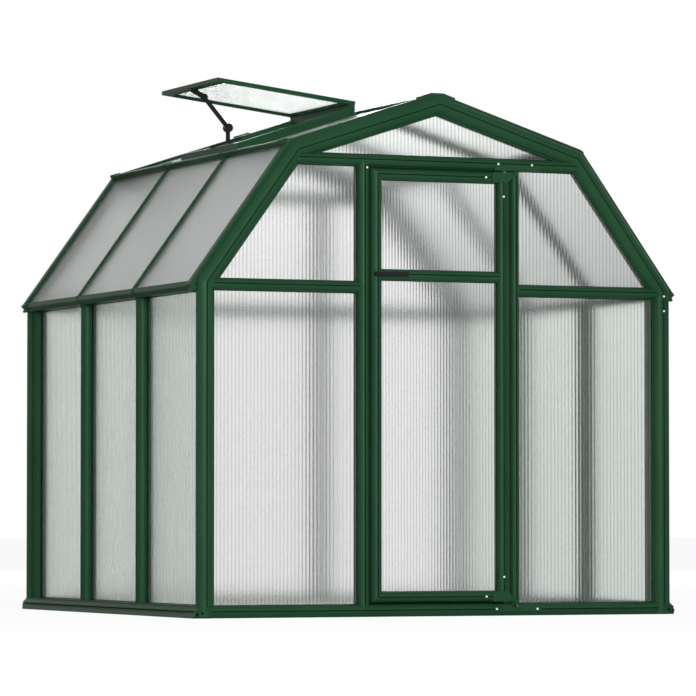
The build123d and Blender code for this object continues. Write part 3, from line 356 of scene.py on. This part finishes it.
def side_lines(side):
    """Near-black strips of painted shade in the grooves of one long wall's posts and sill and along the edges of
    its panes.
    """
    grooves = bmesh.new()
    for y in POST_ROWS:
        side_shade_strip(grooves, (y, 0.05), (y, 1.214), on_side(side, SIDE_POST_DEPTHS), GROOVE)
    side_shade_strip(grooves, (-0.95, 0.0245), (0.95, 0.0245), on_side(side, SIDE_SILL_DEPTHS), SIDE_SILL_GROOVE)
    finished(grooves, "left_wall_groove_shade" if side < 0 else "right_wall_groove_shade", SHADE_AND_JOINT_DARK, "building")
    edge_shade_strips = bmesh.new()
    depths = on_side(side, SIDE_PANE_DEPTHS)
    for y_low, y_high in ((-0.877, -0.3425), (-0.2765, 0.2765), (0.3425, 0.877)):
        for y in (y_low, y_high):
            side_shade_strip(edge_shade_strips, (y, PANE_LOW), (y, RAIL_LOW), depths, EDGE)
        for z in (0.048, 1.217):
            side_shade_strip(edge_shade_strips, (y_low, z), (y_high, z), depths, EDGE)
    finished(edge_shade_strips, "left_pane_edge_shade" if side < 0 else "right_pane_edge_shade", SHADE_AND_JOINT_DARK, "building")


def leaf_lines():
    """Near-black strips of painted shade in the grooves of the door leaf and along the edges of its panes."""
    grooves = bmesh.new()
    left, right, low, high = -0.25975, 0.2645, 0.0735, 1.67
    for start, end in (
        ((left, low), (left, high)), ((right, low), (right, high)),
        ((left, low), (right, low)), ((left, high), (right, high)),
    ):
        shade_strip(grooves, start, end, on_side(-1, LEAF_DEPTHS), GROOVE)
    shade_strip(grooves, (-0.2385, MID_GROOVE), (0.247, MID_GROOVE), on_side(-1, LEAF_MID_DEPTHS), GROOVE)
    finished(grooves, "door_groove_shade", SHADE_AND_JOINT_DARK, "door")
    edge_shade_strips = bmesh.new()
    for z_low, z_high in ((0.094, 1.268), (1.31, 1.648)):
        shade_strips_round_pane(edge_shade_strips, box_loop(-0.2375, 0.246, z_low, z_high), on_side(-1, LEAF_PANE_DEPTHS), EDGE)
    finished(edge_shade_strips, "door_pane_edge_shade", SHADE_AND_JOINT_DARK, "door")


def door_stops():
    """Stops behind the shut leaf, on the doorway's head, lock side and sill."""
    shape = bmesh.new()
    for middle, size in (
        ((0.0, -0.9185, 1.69), (0.58, 0.007, 0.02)),
        ((-0.28, -0.9185, 0.87), (0.018, 0.007, 1.64)),
        ((0.0, -0.9185, 0.054), (0.58, 0.007, 0.016)),
    ):
        block(shape, middle, size)
    bmesh.ops.bevel(
        shape, geom=list(shape.edges), affect="EDGES", offset=0.001, segments=2, profile=0.5, material=-1
    )
    finished(shape, "door_stops", GREEN, "building")


def rib(shape, start, end, y, out):
    """Half-round rib along a roof bar, seen from inside through the sheets."""
    (x_start, z_start), (x_end, z_end) = start, end
    along = Vector((x_end - x_start, 0.0, z_end - z_start))
    turn = along.to_track_quat("Z", "Y").to_matrix().to_4x4()
    middle = Vector(((x_start + x_end) / 2, y, (z_start + z_end) / 2))
    part = bmesh.new()
    bmesh.ops.create_cone(
        part, cap_ends=True, segments=32, radius1=RIB_HALF, radius2=RIB_HALF, depth=along.length,
        matrix=Matrix.Translation(middle) @ turn,
    )
    cut = bmesh.ops.bisect_plane(
        part, geom=part.verts[:] + part.edges[:] + part.faces[:], plane_co=middle, plane_no=out, clear_outer=True
    )
    edges = [element for element in cut["geom_cut"] if isinstance(element, bmesh.types.BMEdge)]
    bmesh.ops.contextual_create(part, geom=edges)
    mesh = bpy.data.meshes.new("rib")
    part.to_mesh(mesh)
    part.free()
    shape.from_mesh(mesh)
    bpy.data.meshes.remove(mesh)


def roof_ribs():
    """Ribs under the middle roof bars; the left upper bars carry none, beside the vent."""
    shape = bmesh.new()
    for y in POST_ROWS:
        for mirror in (1, -1):
            out = Vector((mirror * math.sin(STEEP), 0.0, math.cos(STEEP)))
            low, high = steep(RIB_RISE, 1.262), steep(RIB_RISE, 1.745)
            rib(shape, mirrored(low, mirror), mirrored(high, mirror), y, out)
            if mirror > 0:
                out = Vector((math.sin(SHALLOW), 0.0, math.cos(SHALLOW)))
                rib(shape, shallow(RIB_RISE, 0.555), shallow(RIB_RISE, 0.066), y, out)
    finished(shape, "roof_ribs", GREEN, "building")


def screw(shape, place, out):
    """A pan head with a driver recess, facing along out."""
    axis = Vector(out).normalized()
    turn = axis.to_track_quat("Z", "Y").to_matrix().to_4x4()
    head = bmesh.ops.create_cone(
        shape, cap_ends=True, segments=20, radius1=HEAD_RADIUS, radius2=HEAD_RADIUS * 0.72, depth=HEAD_HEIGHT,
        matrix=Matrix.Translation(Vector(place) + axis * (HEAD_HEIGHT / 2)) @ turn,
    )
    faces = {face for vert in head["verts"] for face in vert.link_faces}
    top = max(faces, key=lambda face: face.calc_center_median() @ axis)
    bmesh.ops.inset_individual(shape, faces=[top], thickness=HEAD_RADIUS * 0.36)
    bmesh.ops.translate(shape, verts=list(top.verts), vec=axis * -RECESS)


def screws(name, body, places, material):
    """Screw heads on one body, as (place, outward direction)."""
    shape = bmesh.new()
    for place, out in places:
        screw(shape, place, out)
    finished(shape, name, material, body)


def sleeve_lines():
    """Joint lines of the sleeve at the head of the right front post, round its nose."""
    shape = bmesh.new()
    for z in (1.1854, 1.2087):
        place = Matrix.Translation((0.951, -0.949, z)) @ Matrix.Diagonal((0.0325, 0.0273, 1.0, 1.0))
        bmesh.ops.create_cone(
            shape, cap_ends=True, segments=48, radius1=1.0, radius2=1.0, depth=0.0016, matrix=place
        )
    bmesh.ops.bisect_plane(
        shape, geom=shape.verts[:] + shape.edges[:] + shape.faces[:], plane_co=(0.0, -0.9495, 0.0),
        plane_no=(0.0, 1.0, 0.0), clear_outer=True,
    )
    finished(shape, "sleeve_lines", SHADE_AND_JOINT_DARK, "building")


def stage_floor():
    """A pale floor that keeps the shadow and reads white to the camera."""
    shape = bmesh.new()
    bmesh.ops.create_grid(shape, x_segments=1, y_segments=1, size=FLOOR_HALF)
    mesh = bpy.data.meshes.new("floor")
    shape.to_mesh(mesh)
    shape.free()
    floor = bpy.data.objects.new("floor", mesh)
    bpy.context.scene.collection.objects.link(floor)
    material = bpy.data.materials.new("pale_floor")
    material.use_nodes = True
    tree = material.node_tree
    tree.nodes.clear()
    out = tree.nodes.new("ShaderNodeOutputMaterial")
    matt = tree.nodes.new("ShaderNodeBsdfDiffuse")
    matt.inputs["Color"].default_value = (FLOOR_TONE, FLOOR_TONE, FLOOR_TONE, 1.0)
    white = tree.nodes.new("ShaderNodeEmission")
    mix = tree.nodes.new("ShaderNodeMixShader")
    path = tree.nodes.new("ShaderNodeLightPath")
    share = tree.nodes.new("ShaderNodeMath")
    share.operation = "MULTIPLY"
    share.inputs[1].default_value = FLOOR_SHARE
    seen = tree.nodes.new("ShaderNodeMath")
    seen.operation = "MAXIMUM"
    tree.links.new(path.outputs["Is Camera Ray"], seen.inputs[0])
    tree.links.new(path.outputs["Is Transmission Ray"], seen.inputs[1])
    tree.links.new(seen.outputs["Value"], share.inputs[0])
    white.inputs["Strength"].default_value = FLOOR_GLOW
    tree.links.new(share.outputs["Value"], mix.inputs["Fac"])
    tree.links.new(matt.outputs["BSDF"], mix.inputs[1])
    tree.links.new(white.outputs["Emission"], mix.inputs[2])
    tree.links.new(mix.outputs["Shader"], out.inputs["Surface"])
    mesh.materials.append(material)


def sky():
    """White to the camera, to gloss and through the sheets; a plain level to everything else."""
    world = bpy.data.worlds.new("studio")
    bpy.context.scene.world = world
    world.use_nodes = True
    tree = world.node_tree
    ground = tree.nodes["Background"]
    path = tree.nodes.new("ShaderNodeLightPath")
    seen = tree.nodes.new("ShaderNodeMath")
    seen.operation = "MAXIMUM"
    tree.links.new(path.outputs["Is Camera Ray"], seen.inputs[0])
    tree.links.new(path.outputs["Is Transmission Ray"], seen.inputs[1])
    glossy = tree.nodes.new("ShaderNodeMath")
    glossy.operation = "MAXIMUM"
    tree.links.new(seen.outputs["Value"], glossy.inputs[0])
    tree.links.new(path.outputs["Is Glossy Ray"], glossy.inputs[1])
    level = tree.nodes.new("ShaderNodeMapRange")
    level.inputs["To Min"].default_value = SKY_LEVEL
    level.inputs["To Max"].default_value = 1.0
    tree.links.new(glossy.outputs["Value"], level.inputs["Value"])
    tree.links.new(level.outputs["Result"], ground.inputs["Strength"])
    ground.inputs["Color"].default_value = (1.0, 1.0, 1.0, 1.0)


def soft_lamp(name, place, target, size, watts):
    """A square soft box aimed at a point."""
    lamp = bpy.data.lights.new(name, "AREA")
    lamp.energy = watts
    lamp.size = size
    holder = bpy.data.objects.new(name, lamp)
    holder.location = place
    aim = Vector(target) - Vector(place)
    holder.rotation_euler = aim.to_track_quat("-Z", "Y").to_euler()
    holder.visible_camera = False
    holder.visible_transmission = False
    bpy.context.scene.collection.objects.link(holder)


FRONT = (0.0, -1.0, 0.0)
gable_lines(-1, (-0.311, 0.319), BAYS_LOW, False)
gable_lines(1, (-0.315, 0.315), BACK_BAYS_LOW, True)
side_lines(-1)
side_lines(1)
leaf_lines()
door_stops()
roof_ribs()
sleeve_lines()
leaf_heads = [(0.19, 1.67), (0.2645, 1.598), (0.19, 0.0735), (0.2645, 0.1475)]
screws("door_screws", "door", [((x, -0.9768, z), FRONT) for x, z in leaf_heads], STEEL)
frame_heads = [
    (0.2417, -0.978, 1.7222), (0.3837, -0.978, 1.7219), (-0.303, -0.9725, 1.6925),
    (0.234, -0.975, 0.0262), (0.4058, -0.975, 0.0252), (0.3212, -0.975, 0.0372),
    (0.952, -0.9755, 1.2305), (0.952, -0.9755, 1.1734),
]
screws("frame_screws", "building", [(place, FRONT) for place in frame_heads], STEEL)
# Dark screw heads on the base corner brackets, in the near-black tone: painted shade standing for the brackets'
# holes.
corner_heads = [
    (x * mirror, side * 0.977, z)
    for mirror in (1, -1) for side in (1, -1) for x, z in ((0.9895, 0.0155), (0.968, 0.019))
]
screws("corner_hole_shade", "building", [(place, (0.0, place[1], 0.0)) for place in corner_heads], SHADE_AND_JOINT_DARK)

stage_floor()
sky()
soft_lamp("key", (-3.6, -11.5, 2.6), (0.0, 0.0, 1.0), 2.6, 1120.0)
soft_lamp("fill", (5.5, 12.0, 4.5), (0.0, 0.0, 1.0), 3.0, 420.0)

eye = bpy.data.cameras.new("view")
eye.lens = CAMERA_LENS
eye.sensor_width = SENSOR_WIDTH
eye.clip_end = VIEW_END
viewer = bpy.data.objects.new("view", eye)
yaw, pitch = math.radians(CAMERA_YAW), math.radians(CAMERA_PITCH)
forward = Vector((math.sin(yaw) * math.cos(pitch), math.cos(yaw) * math.cos(pitch), math.sin(pitch)))
viewer.location = CAMERA_PLACE
viewer.rotation_euler = forward.to_track_quat("-Z", "Y").to_euler()
bpy.context.scene.collection.objects.link(viewer)
bpy.context.scene.camera = viewer
bpy.context.scene.view_settings.view_transform = "Standard"
